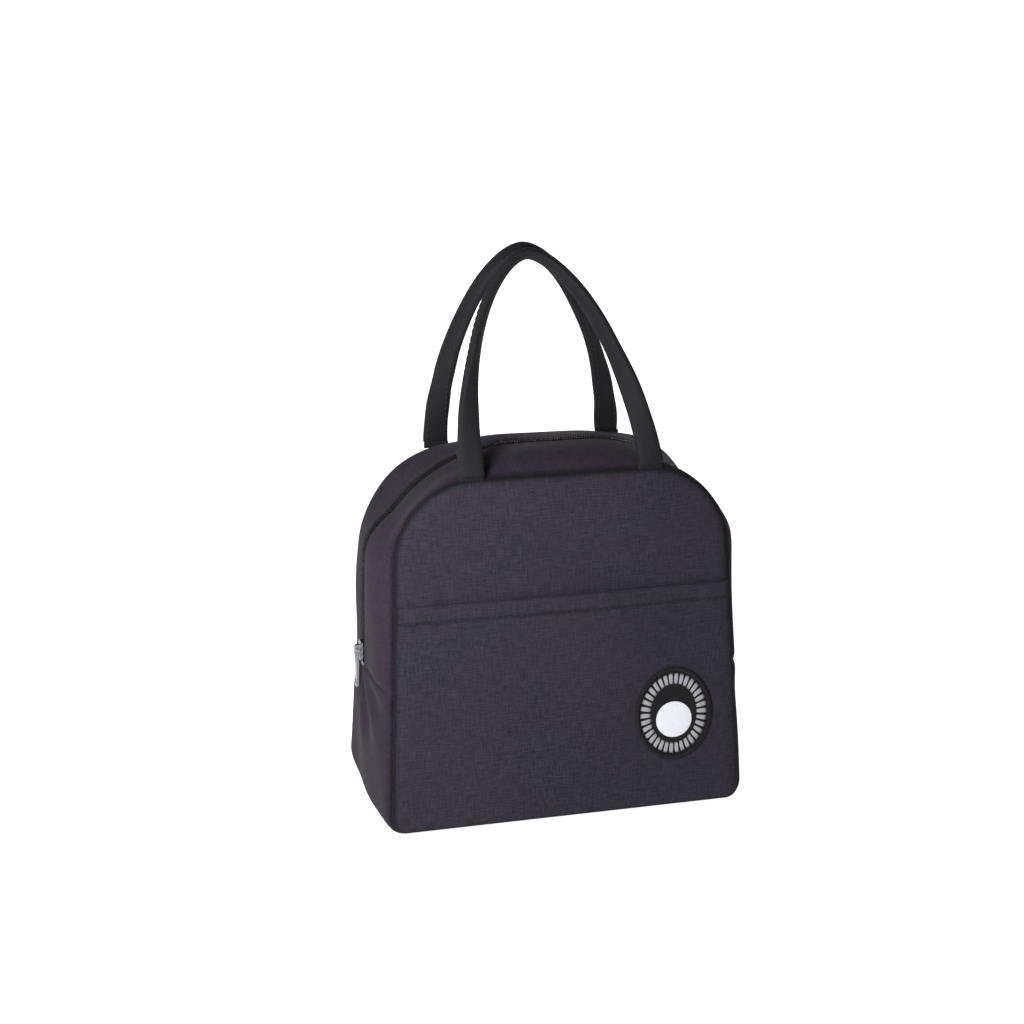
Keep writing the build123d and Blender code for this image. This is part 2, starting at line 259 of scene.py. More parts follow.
def along_line(points):
    """Length along a line of points, up to each of them."""
    return np.concatenate([[0], np.cumsum(np.linalg.norm(np.diff(points, axis=0), axis=1))])


def from_seam(x, z):
    """Distance from points of a panel to its outline: the least distance to its short straight runs."""
    a, b = SEAM, np.roll(SEAM, -1, axis=0)
    run = b - a
    dx, dz = np.expand_dims(x, -1) - a[:, 0], np.expand_dims(z, -1) - a[:, 1]
    t = np.clip((dx * run[:, 0] + dz * run[:, 1]) / (run ** 2).sum(1), 0, 1)
    return np.sqrt((dx - t * run[:, 0]) ** 2 + (dz - t * run[:, 1]) ** 2).min(-1)


print("from the outline to the panel's middle, mm:", round(float(from_seam(0.0, SEAM_TOP / 2)) / MM))


# %% [markdown]
# ## From grids to meshes
# Three helpers make every soft piece. A wall is two grids, its outer and its inner face, joined round the
# rim, so that cloth is a closed solid with a real thickness. A sweep is a rounded section carried along a
# line, for straps and tape. Beads are many small copies of one short thread or tooth. A Solidify modifier
# could thicken a single grid, but two grids let the padding be thinner where it is sewn. Texture coordinates
# are the cloth's own length and width in metres, so that a weave follows it.

# %% A mesh from arrays
def grid_faces(rows, cols, start=0):
    """Corner numbers of a grid's quads, when its points are numbered from start."""
    number = np.arange(rows * cols).reshape(rows, cols) + start
    return np.stack([number[:-1, :-1], number[1:, :-1], number[1:, 1:], number[:-1, 1:]], -1).reshape(-1, 4)


def make_piece(name, points, faces, uv, material):
    """A mesh object from points (n, 3), quads (m, 4) and one texture coordinate for each point. Its faces
    are turned to look outwards."""
    mesh = bpy.data.meshes.new(name)
    mesh.vertices.add(len(points))
    mesh.vertices.foreach_set("co", np.ascontiguousarray(points, np.float32).ravel())
    mesh.loops.add(faces.size)
    mesh.loops.foreach_set("vertex_index", faces.ravel().astype(np.int32))
    mesh.polygons.add(len(faces))
    mesh.polygons.foreach_set("loop_start", np.arange(0, faces.size, 4, dtype=np.int32))
    mesh.polygons.foreach_set("use_smooth", np.ones(len(faces), bool))
    layer = mesh.uv_layers.new(name="cloth")
    layer.data.foreach_set("uv", np.ascontiguousarray(uv[faces.ravel()], np.float32).ravel())
    mesh.update(calc_edges=True)
    mesh.validate()
    work = bmesh.new()
    work.from_mesh(mesh)
    bmesh.ops.recalc_face_normals(work, faces=work.faces)
    work.to_mesh(mesh)
    work.free()
    mesh.materials.append(material)
    piece = bpy.data.objects.new(name, mesh)
    bpy.context.scene.collection.objects.link(piece)
    return piece


# %% Walls
def wall(name, outer, inner, uv, material):
    """A closed sheet between two grids of the same size, with a rim of quads round their edges."""
    rows, cols = outer.shape[:2]
    size = rows * cols
    number = np.arange(size).reshape(rows, cols)
    edge = np.concatenate([number[:, 0], number[-1, 1:], number[-2::-1, -1], number[0, -2:0:-1]])
    after = np.roll(edge, -1)
    rim = np.stack([edge, after, after + size, edge + size], -1)
    faces = np.concatenate([grid_faces(rows, cols), grid_faces(rows, cols, size)[:, ::-1], rim])
    points = np.concatenate([outer.reshape(-1, 3), inner.reshape(-1, 3)])
    return make_piece(name, points, faces, np.tile(uv.reshape(-1, 2), (2, 1)), material)


# %% Straps and tape
def sweep(name, centre, normal, side, half_width, half_height, material, around=10, squareness=2.0,
          wrap=False):
    """A strap or tape: a rounded section carried along a line. The section is a superellipse, whose two
    sizes run along side and normal; squareness 2 is an ellipse, and more is squarer."""
    angle = np.linspace(0, 2 * np.pi, around, endpoint=False)
    power = 2 / squareness
    a = np.sign(np.cos(angle)) * np.abs(np.cos(angle)) ** power
    b = np.sign(np.sin(angle)) * np.abs(np.sin(angle)) ** power
    half_width = np.broadcast_to(half_width, len(centre))[:, None, None]
    half_height = np.broadcast_to(half_height, len(centre))[:, None, None]
    rings = centre[:, None] + side[:, None] * a[:, None] * half_width
    rings = rings + normal[:, None] * b[:, None] * half_height
    number = np.arange(len(centre) * around).reshape(len(centre), around)
    number = np.concatenate([number, number[:, :1]], 1)
    if wrap:
        number = np.concatenate([number, number[:1]])
    faces = np.stack([number[:-1, :-1], number[1:, :-1], number[1:, 1:], number[:-1, 1:]], -1)
    faces = faces.reshape(-1, 4)
    length = along_line(centre)
    girth = angle / (2 * np.pi) * 4 * (half_width.ravel()[0] + half_height.ravel()[0])
    uv = np.stack(np.meshgrid(length, girth, indexing="ij"), -1).reshape(-1, 2)
    if not wrap:
        half = around // 2
        for end in (0, len(centre) - 1):
            ring = end * around + np.arange(around)
            back = ring[::-1]
            cap = np.stack([ring[:half - 1], ring[1:half], back[1:half], back[:half - 1]], -1)
            faces = np.concatenate([faces, cap])
    return make_piece(name, rings.reshape(-1, 3), faces, uv, material)


# %% Rows of threads
BEAD_END = 0.98  # a thread's end is cut off just before its tip, where it would have no width
BEAD_RINGS, BEAD_SIDES = 5, 6
BEAD_CAP = np.array([[0, 1, 2, 3], [0, 3, 4, 5]])  # a six-sided end as two quads


def beads(name, centres, along, across, up, sizes, material):
    """Many copies of one short rounded thread, in one mesh. Each is a tube that thins to its two ends as
    the square root of 1 - t^2, laid along one direction, with sizes along it, across it and upwards."""
    ribs, around = BEAD_RINGS, BEAD_SIDES
    t = np.linspace(-BEAD_END, BEAD_END, ribs)
    angle = np.linspace(0, 2 * np.pi, around, endpoint=False)
    radius = np.sqrt(1 - t ** 2)[:, None]
    local = np.stack([
        np.broadcast_to(t[:, None], (ribs, around)), radius * np.cos(angle), radius * np.sin(angle)], -1)
    local = local.reshape(1, -1, 3) * np.broadcast_to(sizes, (len(centres), 3))[:, None] / 2
    axes = np.stack([along, across, up], 1)
    points = (centres[:, None] + np.einsum("npk,nkd->npd", local, axes)).reshape(-1, 3)
    one = grid_faces(ribs, around).reshape(-1, 4)
    number = np.arange(ribs * around).reshape(ribs, around)
    seam = np.stack([number[:-1, -1], number[1:, -1], number[1:, 0], number[:-1, 0]], -1)
    one = np.concatenate([one, seam, BEAD_CAP, BEAD_CAP[:, ::-1] + (ribs - 1) * around])
    faces = (one[None] + (np.arange(len(centres)) * ribs * around)[:, None, None]).reshape(-1, 4)
    return make_piece(name, points, faces, local[..., :2].reshape(-1, 2), material)


print("faces of one thread:", (BEAD_RINGS - 1) * BEAD_SIDES + 2 * len(BEAD_CAP))

# %% [markdown]
# ## Materials
# The outer cloth is a heathered polyester canvas: warp and weft threads of slightly different greys, with
# slubs, so it looks charcoal with a purple tint and never quite even. A scanned cloth texture could show
# that, but a weave made of nodes stays sharp at any distance. Real threads are near 0.4 mm apart, too fine
# to show from here, so the weave is drawn about twice as coarse. Everything else on the bag is darker and
# plainer: black webbing, black tape, nylon coil, and three colours of embroidery thread.

# %% Outer cloth
CANVAS_THREAD = 0.95 * MM  # drawn coarser than the real 0.4 mm, so that it shows
FOLD_SHADE = "#08080A"  # cloth deep in a seam, where hardly any light reaches its pile


def weave_height(tree, coordinates, pitch, ratio=1.0):
    """Plain weave: over-under hills, the product of two sines across the cloth, as a node output."""
    split_xy = add(tree, "ShaderNodeSeparateXYZ", {"Vector": coordinates})
    rate = 2 * math.pi / pitch
    across = add(tree, "ShaderNodeMath", {0: split_xy.outputs["X"]}, operation="MULTIPLY", _1=rate)
    along = add(tree, "ShaderNodeMath", {0: split_xy.outputs["Y"]}, operation="MULTIPLY", _1=rate * ratio)
    sine_a = add(tree, "ShaderNodeMath", {0: across.outputs[0]}, operation="SINE")
    sine_b = add(tree, "ShaderNodeMath", {0: along.outputs[0]}, operation="SINE")
    weave = add(tree, "ShaderNodeMath", {0: sine_a.outputs[0], 1: sine_b.outputs[0]}, operation="MULTIPLY")
    return weave.outputs[0]


def streaks(tree, coordinates, stretch, scale):
    """Noise pulled out along the threads of one direction, as the colour of uneven yarn."""
    place = add(tree, "ShaderNodeMapping", {"Vector": coordinates}, Scale=stretch).outputs[0]
    return add(tree, "ShaderNodeTexNoise", {"Vector": place}, Scale=scale, Detail=3.0, Roughness=0.6)


def canvas(name, dark, light, warm):
    """Heathered canvas: two stretched noises for warp and weft yarn, mixed by a fine weave, and a bump.
    Patches of it are warmer, and painted shade darkens it deep in a seam, by each point's stored amount."""
    material, tree, shader = new_material(name, dark, 0.92, Sheen_Weight=0.02, Sheen_Roughness=0.5,
                                          Specular_IOR_Level=0.06)
    uv = add(tree, "ShaderNodeUVMap", uv_map="cloth").outputs[0]
    weave = weave_height(tree, uv, 2 * CANVAS_THREAD)
    warp = streaks(tree, uv, (1.0, 9.0, 1.0), 130).outputs["Fac"]
    weft = streaks(tree, uv, (9.0, 1.0, 1.0), 130).outputs["Fac"]
    pick = add(tree, "ShaderNodeMapRange", {"Value": weave}, From_Min=-0.6, From_Max=0.6).outputs[0]
    yarn = add(tree, "ShaderNodeMix", {"Factor": pick, "A": warp, "B": weft})
    yarn_ramp = add(tree, "ShaderNodeMapRange", {"Value": yarn.outputs[0]}, From_Min=0.3, From_Max=0.72)
    cloud = add(tree, "ShaderNodeTexNoise", {"Vector": uv}, Scale=14.0, Detail=4.0)
    tone = add(tree, "ShaderNodeMix", {"Factor": yarn_ramp.outputs[0]}, data_type="RGBA")
    tone.inputs["A"].default_value, tone.inputs["B"].default_value = linear(dark), linear(light)
    cloud_ramp = add(tree, "ShaderNodeMapRange", {"Value": cloud.outputs["Fac"]}, From_Min=0.35,
                     From_Max=0.8, To_Max=0.35)
    links = {"Factor": cloud_ramp.outputs[0], "A": tone.outputs["Result"]}
    tint = add(tree, "ShaderNodeMix", links, data_type="RGBA")
    tint.inputs["B"].default_value = linear(warm)
    # painted shade: each point's stored amount mixes the cloth towards FOLD_SHADE near a seam
    seam_shade_amount = add(tree, "ShaderNodeAttribute", attribute_name="painted_seam_shade")
    links = {"Factor": seam_shade_amount.outputs["Fac"], "A": tint.outputs["Result"]}
    seam_shade_mix = add(tree, "ShaderNodeMix", links, data_type="RGBA")
    seam_shade_mix.inputs["B"].default_value = linear(FOLD_SHADE)
    tree.links.new(seam_shade_mix.outputs["Result"], shader.inputs["Base Color"])
    lump = add(tree, "ShaderNodeMath", {0: weave, 1: yarn.outputs[0]}, operation="ADD")
    bump = add(tree, "ShaderNodeBump", {"Height": lump.outputs[0]}, Strength=0.55, Distance=0.12 * MM)
    tree.links.new(bump.outputs[0], shader.inputs["Normal"])
    return material


outer_cloth = canvas("heathered_canvas", "#100F14", "#2B2932", "#28222B")
side_cloth = canvas("heathered_canvas_side_piece", "#120E14", "#28232E", "#301F2C")  # a copy for the gusset: its light tone a little darker, its warm tone redder
print("outer cloths:", outer_cloth.name, side_cloth.name)


# %% Webbing, tapes and threads
def ribbed(name, base, light, rib, roughness, slant=0.0, depth=0.12 * MM):
    """Narrow woven ware: ribs across or along it, at a slant for webbing, with a little yarn noise."""
    material, tree, shader = new_material(name, base, roughness, Sheen_Weight=0.01,
                                          Specular_IOR_Level=0.12)
    uv = add(tree, "ShaderNodeUVMap", uv_map="cloth").outputs[0]
    turned = add(tree, "ShaderNodeMapping", {"Vector": uv}, Rotation=(0, 0, slant))
    weave = weave_height(tree, turned.outputs[0], rib, 0.5)
    noise = add(tree, "ShaderNodeTexNoise", {"Vector": uv}, Scale=900.0, Detail=2.0)
    total = add(tree, "ShaderNodeMath", {0: weave, 1: noise.outputs["Fac"]}, operation="ADD")
    ramp = add(tree, "ShaderNodeMapRange", {"Value": total.outputs[0]}, From_Min=-0.5, From_Max=1.6)
    tone = add(tree, "ShaderNodeMix", {"Factor": ramp.outputs[0]}, data_type="RGBA")
    tone.inputs["A"].default_value, tone.inputs["B"].default_value = linear(base), linear(light)
    tree.links.new(tone.outputs["Result"], shader.inputs["Base Color"])
    bump = add(tree, "ShaderNodeBump", {"Height": total.outputs[0]}, Strength=0.7, Distance=depth)
    tree.links.new(bump.outputs[0], shader.inputs["Normal"])
    return material


webbing = ribbed("polypropylene_webbing", "#09090B", "#151417", 1.3 * MM, 0.75, slant=0.7, depth=0.05 * MM)
zipper_cloth = ribbed("polyester_zipper_tape", "#0B0B0D", "#17171A", 1.1 * MM, 0.85)
edge_binding = ribbed("polyester_binding", "#121214", "#242428", 1.2 * MM, 0.85)
badge_twill = ribbed("black_twill", "#070708", "#121214", 0.9 * MM, 0.8, slant=0.8)
dark_thread = ribbed("dark_sewing_thread", "#151419", "#26252B", 0.5 * MM, 0.6, slant=0.6)
black_thread = ribbed("black_rayon_thread", "#070708", "#151517", 0.5 * MM, 0.45, slant=0.6)
grey_thread = ribbed("light_grey_rayon_thread", "#67676B", "#98989D", 0.5 * MM, 0.45, slant=0.6)
white_thread = ribbed("off_white_rayon_thread", "#A0A1A6", "#C9CAD1", 0.5 * MM, 0.45, slant=0.6)

print("threads:", [thread.name for thread in (dark_thread, black_thread, grey_thread, white_thread)])


# %% Foil, foam, nylon and metal
def crinkled(name, base, roughness, metallic, scale, depth, **sockets):
    """A surface with fine random hills, for foil film, foam skin and tumbled die-cast metal."""
    material, tree, shader = new_material(name, base, roughness, Metallic=metallic, **sockets)
    place = add(tree, "ShaderNodeTexCoord").outputs["Object"]
    noise = add(tree, "ShaderNodeTexNoise", {"Vector": place}, Scale=scale, Detail=3.0)
    ramp = add(tree, "ShaderNodeMapRange", {"Value": noise.outputs["Fac"]}, From_Min=0.3, From_Max=0.7,
               To_Min=roughness - 0.08, To_Max=roughness + 0.1)
    tree.links.new(ramp.outputs[0], shader.inputs["Roughness"])
    bump = add(tree, "ShaderNodeBump", {"Height": noise.outputs["Fac"]}, Strength=0.6, Distance=depth)
    tree.links.new(bump.outputs[0], shader.inputs["Normal"])
    return material


foil = crinkled("aluminised_film", "#C9CBCF", 0.36, 0.85, 160.0, 0.25 * MM)
foam_skin = crinkled("closed_cell_foam", "#E9E9E6", 0.9, 0.0, 1400.0, 0.1 * MM)
nylon = crinkled("black_nylon_coil", "#0A0A0B", 0.5, 0.0, 900.0, 0.02 * MM, Specular_IOR_Level=0.2)
zinc = crinkled("die_cast_zinc", "#8E8E92", 0.34, 1.0, 500.0, 0.03 * MM)
for node in ("zip_slider", "zip_pull", "left_zipper_stop", "right_zipper_stop"):
    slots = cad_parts[node].data.materials
    slots.clear()
    slots.append(zinc)
print("materials:", len(bpy.data.materials))

# %% [markdown]
# ## Front and back panels
# Each panel is a flat D of cloth, backed by foam. Foam makes it stand up, and pulls it in at the seam, so
# its edge rolls over in a soft step about 3 mm high. A cloth simulation could puff it up, but the real panel
# is nearly flat, and a formula gives its seams exactly. A panel is a grid: every row goes from the left seam
# to the right seam at one height, so the grid ends exactly on the outline. The same formula at a greater
# depth gives the foam's faces and the foil.

# %% Edge of a panel
PANEL_COLUMNS = 130
SEAM_SINK = 2.2 * MM  # how far the seam lies inside the outline
EDGE_BUNCH = 0.93  # how much closer a grid's columns are near the seams
SHARPEST = 1 * MM  # the least radius of an inner layer's corner
SIDE_PART = slice(POINTS["base"] // 2, POINTS["base"] // 2 + POINTS["base_corner"] + POINTS["side"]
                  + POINTS["top_corner"] - 1)


def left_side(inset):
    """The left side of a panel's outline, moved in by the inset, from the base to the top."""
    loop = outline(BASE_HALF - inset, TOP_HALF - inset, inset, SEAM_TOP - inset, PANEL_CORNER - inset,
                   max(BASE_CORNER - inset, SHARPEST))
    return loop[SIDE_PART]


def bunched(count):
    """Numbers from -1 to 1, closer together near both ends: a sine, stretched to reach them."""
    return np.sin(np.linspace(-1, 1, count) * np.pi / 2 * EDGE_BUNCH) / math.sin(np.pi / 2 * EDGE_BUNCH)


print("points up a side:", len(left_side(0)))


# %% Face of a panel
ROLL_HEIGHT, ROLL_LENGTH = 2.9 * MM, 2.6 * MM  # the soft step at a seam
HILL_LENGTH, HILL_HEIGHT = 95 * MM, 0.9 * MM  # slow hills over the whole panel
SAG_LENGTH, SAG_HEIGHT, SAG_FLATNESS = 60 * MM, 0.25 * MM, 2.2  # smaller ones that are wider than tall
HILL_START = 25 * MM  # the hills grow to their full height this far from a seam


def panel_place(side, x, z, out):
    """Point of a panel's plane at x and height z, moved outwards by out. side is -1 in front, 1 behind."""
    y = side * (BASE_REACH - z * math.tan(LEAN))
    return np.stack([x + 0 * out, y + side * out * math.cos(LEAN), z + out * math.sin(LEAN)], -1)


def roll(gap):
    """The cloth's rise from a seam at a distance: height (1 - exp(-d/length)) from the sunk seam."""
    return ROLL_HEIGHT * (1 - np.exp(-np.maximum(gap - SEAM_SINK, 0) / ROLL_LENGTH)) - SEAM_SINK


def panel_rise(side, x, z):
    """How far the cloth stands out from the panel's plane: the roll at the seam, then slow hills."""
    gap = from_seam(x, z)
    hills = waves(x, z, HILL_LENGTH, 11 + side) * HILL_HEIGHT
    sags = waves(x, z * SAG_FLATNESS, SAG_LENGTH, 21 + side) * SAG_HEIGHT
    return roll(gap) + smooth(gap / HILL_START) * (hills + sags)


def panel_grid(heights, columns, inset):
    """x and z of a panel's grid: each row goes from the left edge to the right one."""
    edge = left_side(inset)
    x = -np.interp(heights, edge[:, 1], edge[:, 0])[:, None] * bunched(columns)
    return x, np.broadcast_to(heights[:, None], x.shape)


def panel_surface(side, step, depth):
    """A panel's grid of points at a depth under its outer face, on every step-th row and column."""
    inset = SEAM_SINK + depth
    heights = left_side(inset)[:, 1]
    heights = np.concatenate([heights[:-1:step], heights[-1:]])
    x, z = panel_grid(heights, PANEL_COLUMNS // step, inset)
    return panel_place(side, x, z, panel_rise(side, x, z) - depth), np.stack([x, z], -1)


print("cloth stands above its seam by, mm:", round(float(roll(1.0) + SEAM_SINK) / MM, 1))


# %% Layers of a padded wall
BODIES = {-1: "front", 1: "back"}
# shade painted into the cloth along each seam
SEAM_SHADE_REACH, SEAM_SHADE_DEPTH = 1.7 * MM, 0.8  # how far a seam's shade reaches, and how dark it is
SLIP = 0.05 * MM  # room between layers that touch
LAYERS = {  # outer depth, inner depth, material, slot, grid step
    "cloth": (0.0, CLOTH, None, "outer_fabric", 1),
    "foam": (CLOTH + SLIP, CLOTH + FOAM - SLIP, foam_skin, "foam", 2),
    "foil": (CLOTH + FOAM, CLOTH + FOAM + FOIL, foil, "foil_lining", 2),
}


def painted_seam_shade(piece, gap):
    """Stores how much shade is painted near a seam: the set darkness in it, and 0 from about 4 mm away."""
    seam_shade_amount = SEAM_SHADE_DEPTH * np.exp(-(np.maximum(gap, 0) / SEAM_SHADE_REACH) ** 2)
    layer = piece.data.attributes.new("painted_seam_shade", "FLOAT", "POINT")
    layer.data.foreach_set("value", np.tile(seam_shade_amount.ravel(), 2).astype(np.float32))


def bend(piece):
    """Bakes a piece's placement into its mesh points."""
    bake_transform(piece)
    return piece


def layered(name, surface, nodes, cloth=outer_cloth):
    """Cloth, foam and foil of one wall, from one surface function of a depth and a grid step. nodes gives
    the CAD nodes that each layer replaces. Returns each piece with its slot and its outer area."""
    made = {}
    for layer, (outer, inner, material, slot, step) in LAYERS.items():
        material = cloth if layer == "cloth" else material
        top, uv = surface(outer, step)
        under, _ = surface(inner, step)
        piece = wall(f"{name}_{layer}", top, under, uv, material)
        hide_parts(*nodes[layer])
        across, down = np.diff(top, axis=0)[:, :-1], np.diff(top, axis=1)[:-1]
        made[layer] = (piece, slot, np.linalg.norm(np.cross(across, down), axis=-1).sum())
    return made


def declare(made):
    """Prints the foil's area; the foil is a sheet stretched over padding of cloth and foam that stays up."""
    for layer, (piece, _, area) in made.items():
        if layer == "foil":
            print(piece.name, "flat area, square cm:", round(area * 1e4, 1))


# %% Build the two panels
for side, word in BODIES.items():
    nodes = {layer: [f"{word}_{cad}_lower", f"{word}_{cad}_upper"]
             for layer, cad in (("cloth", "panel"), ("foam", "foam"), ("foil", "lining"))}
    made = layered(f"{word}_panel", lambda depth, step: panel_surface(side, step, depth), nodes)
    _, uv = panel_surface(side, 1, 0.0)
    # painted shade along the panel's seam
    painted_seam_shade(made["cloth"][0], from_seam(uv[..., 0], uv[..., 1]) - SEAM_SINK)
    for piece, slot, _ in made.values():
        bend(piece)
    declare(made)

# %% [markdown]
# ## Gusset
# Above the two ends of the zipper the gusset is two bands, one on each side of it, and below them one wide
# strip goes down the left side, under the bag and up the right side. Across its width the gusset bulges as
# a shallow arch between its two seams, and sinks at each seam, as the panels do. At the top corners the
# stiff zipper pulls it flatter. The strip has soft creases that fan out from the ends of the zipper, where
# the cloth is pulled when the mouth opens. Lofting between three curves would give the arch, but a formula
# over length and width also gives the creases, and every layer below.

# %% Seam and zipper lines
ZIP_CORNERS = 64 * MM, 86 * MM  # the stiff zipper takes a top corner in a curve that widens as it rises
ZIP_EASE = 149 * MM, 185 * MM  # heights where it starts and stops widening, above the slider's straight run


def nearest_on(points, loop):
    """The point of a closed loop's short straight runs that lies nearest to each of the points."""
    run = np.roll(loop, -1, axis=0) - loop
    share = np.clip(((points[:, None] - loop) * run).sum(-1) / (run ** 2).sum(1), 0, 1)
    spots = loop + share[..., None] * run
    best = np.linalg.norm(points[:, None] - spots, axis=-1).argmin(1)
    return spots[np.arange(len(points)), best]


def zip_path(corner):
    """The ridge, moved onto an outline whose top corners have another radius."""
    loop = outline(BASE_HALF + BASE_BULGE, TOP_HALF + TOP_BULGE, 0, RIDGE_TOP, corner, BASE_CORNER)
    return nearest_on(RIDGE, loop)


sunk_seam = outline(BASE_HALF - SEAM_SINK, TOP_HALF - SEAM_SINK, SEAM_SINK, SEAM_TOP - SEAM_SINK,
                    PANEL_CORNER - SEAM_SINK, BASE_CORNER - SEAM_SINK)
tight, wide = [zip_path(corner) for corner in ZIP_CORNERS]
widening = smooth((RIDGE[:, 1:] - ZIP_EASE[0]) / (ZIP_EASE[1] - ZIP_EASE[0]))
lines = np.concatenate([sunk_seam, tight + (wide - tight) * widening - SEAM], 1)
LINES = np.concatenate([lines, lines[:1]])  # x and z of the sunk seam, and from the seam to the ridge
LOOP = np.concatenate([SEAM, SEAM[:1]])
LOOP_LENGTH = along_line(LOOP)
LOOP_TOTAL = LOOP_LENGTH[-1]


def loop_at(length):
    """The sunk seam's x and z at a length along the loop, and how far the ridge lies outside the seam."""
    length = np.asarray(length) % LOOP_TOTAL
    line = np.stack([np.interp(length, LOOP_LENGTH, LINES[:, k]) for k in range(4)], -1)
    return line[..., :2], line[..., 2:]


def reach_at(length):
    """Distance from the bag's middle to the sunk seams, at each length along the loop, as a column."""
    seam, _ = loop_at(length)
    return BASE_REACH - seam[:, 1:2] * math.tan(LEAN) - SEAM_SINK * math.cos(LEAN)


def side_length(height, side):
    """Length along the loop where the left (-1) or right (1) side is at a height."""
    half = len(SEAM) // 2
    left = np.interp(height, LOOP[POINTS["base"] // 2:half, 1], LOOP_LENGTH[POINTS["base"] // 2:half])
    return left if side < 0 else LOOP_TOTAL - left


ZIP_END = 82 * MM  # height of the cross seam where the bands meet the strip
LEFT_END, RIGHT_END = side_length(ZIP_END, -1), side_length(ZIP_END, 1)
print("gusset strip, mm:", round((LOOP_TOTAL - RIGHT_END + LEFT_END) / MM),
      "bands, mm:", round((RIGHT_END - LEFT_END) / MM))


# %% How far the gusset stands out
FLAT_HALF, FLAT_START = 12 * MM, 16 * MM  # the flat cloth beside the zipper, and how gradually it starts
CROSS_WIDTH, CROSS_DEPTH = 2.0 * MM, 1.0 * MM  # the cross seam's groove
CROSS_START, CROSS_EASE = 5 * MM, 3 * MM  # the groove starts this far from the zipper's middle
CROWN_DROP, CROWN_START = 0.5 * MM, 12 * MM  # the middle is this much flatter, from this far in
SIDE_HILL_LENGTH, SIDE_HILL_HEIGHT, SIDE_HILL_START = 70 * MM, 0.9 * MM, 18 * MM
FOLD_HEIGHT, FOLD_COUNT = 1.2 * MM, 8  # the creases below the zipper's ends
FOLD_PLACE, FOLD_SPREAD = 30 * MM, 19 * MM  # how far below the end they are deepest, and their length
WANDER, WANDER_LENGTH = 0.8, 14 * MM  # how much the creases wander
FOLD_EASE, FLOOR_EASE, BASE_EASE = 10 * MM, 15 * MM, 12 * MM  # they fade at the cross seam and the floor


def gusset_rise(length, y, z, reach):
    """How far the cloth stands out from the sunk seams: the roll at them and at the cross seam, slow hills,
    and creases that fan out below the ends of the zipper. Next to the zipper it lies flat."""
    across = np.abs(y)
    gap = np.maximum(reach - across, 0) + SEAM_SINK
    at_zip = np.exp(-(across / FLAT_HALF) ** 2) * smooth((z - ZIP_END + FLAT_START) / FLAT_START)
    groove = np.exp(-((z - ZIP_END) / CROSS_WIDTH) ** 2) * smooth((across - CROSS_START) / CROSS_EASE)
    rise = roll(gap) + SEAM_SINK - CROWN_DROP * smooth(gap / CROWN_START)
    rise = rise * (1 - at_zip) + SEAM_SINK * at_zip - CROSS_DEPTH * groove
    hills = waves(length + 0 * y, y, SIDE_HILL_LENGTH, 5) * SIDE_HILL_HEIGHT
    hills = hills * smooth(gap / SIDE_HILL_START) * (1 - at_zip)
    below = ZIP_END - z
    fan, far = np.arctan2(y, np.maximum(below, 1 * MM)), np.hypot(y, below)
    folds = np.cos(fan * FOLD_COUNT + WANDER * np.sin(far / WANDER_LENGTH))
    folds = folds * np.exp(-((far - FOLD_PLACE) / FOLD_SPREAD) ** 2)
    folds = folds * FOLD_HEIGHT * smooth(below / FOLD_EASE) * smooth(z / FLOOR_EASE)
    return rise + (hills + folds) * smooth(z / BASE_EASE)


strip_rise = gusset_rise(0.0, np.array([30 * MM]), np.array([50 * MM]), BASE_REACH)
print("cloth above the sunk seam on the strip, mm:", round(float(strip_rise[0]) / MM, 1))


# %% Gusset surface
ARCH = 2.8  # 2 is a parabola between the seams, and more is flatter in the middle with tighter shoulders
FLANK = 8  # the power of the arch's last drop, close to the sunk seam
RUN_STEP = 0.4 * MM  # half the step over which the direction along the loop is measured


def gusset_frame(length, y):
    """Grid over the gusset for a column of lengths along the loop and a grid of places y across it: its
    points and its directions outwards. Between the seams it bulges by 1 - |share|^ARCH."""
    def plain(length):
        seam, bulge = loop_at(length)
        share = np.minimum(np.abs(y / reach_at(length)), 1)
        flat = seam[:, None] + bulge[:, None] * (1 - share ** ARCH)[..., None]
        height = flat[..., 1] - SEAM_SINK * math.sin(LEAN) * share ** FLANK
        return np.stack([flat[..., 0], y + 0 * share, height], -1)

    here = plain(length)
    run = plain(length + RUN_STEP) - plain(length - RUN_STEP)
    run /= np.linalg.norm(run, axis=-1, keepdims=True)
    out = np.stack([-run[..., 2], 0 * y, run[..., 0]], -1)
    out /= np.linalg.norm(out, axis=-1, keepdims=True)
    rise = gusset_rise(length[:, None], y, here[..., 2], reach_at(length))
    return here, out, run, rise


def gusset_surface(length, y, depth):
    """Points of the gusset at a depth, never under the floor, with the cloth's length and width as texture
    coordinates."""
    here, out, _, rise = gusset_frame(length, y)
    points = here + out * (rise - depth)[..., None]
    points[..., 2] = np.maximum(points[..., 2], depth)
    return points, np.stack([length[:, None] + 0 * y, y], -1)


top_point, _ = gusset_surface(np.array([LOOP_TOTAL / 2]), np.zeros((1, 1)), 0.0)
print("top of the zipper's line, mm:", round(float(top_point[0, 0, 2]) / MM, 1))


# %% Gusset strip and zipper bands
GUSSET_STEP = 1.9 * MM
STRIP_COLUMNS, BAND_COLUMNS = 76, 34
SLOT_HALF = 4.5 * MM  # half the gap between the bands, where the zipper shows
FOAM_EDGE, FOIL_EDGE = 14.2 * MM, 12.2 * MM  # the foam stops at the tape's edge, and the foil laps under it


def strip_surface(depth, step):
    """The strip, from the right end of the zipper down, round the base and up to the left end."""
    span = LOOP_TOTAL - RIGHT_END + LEFT_END
    length = np.linspace(RIGHT_END - LOOP_TOTAL, LEFT_END, int(span / GUSSET_STEP / step))
    y = bunched(STRIP_COLUMNS // step) * (reach_at(length) - depth)
    return gusset_surface(length, y, depth)


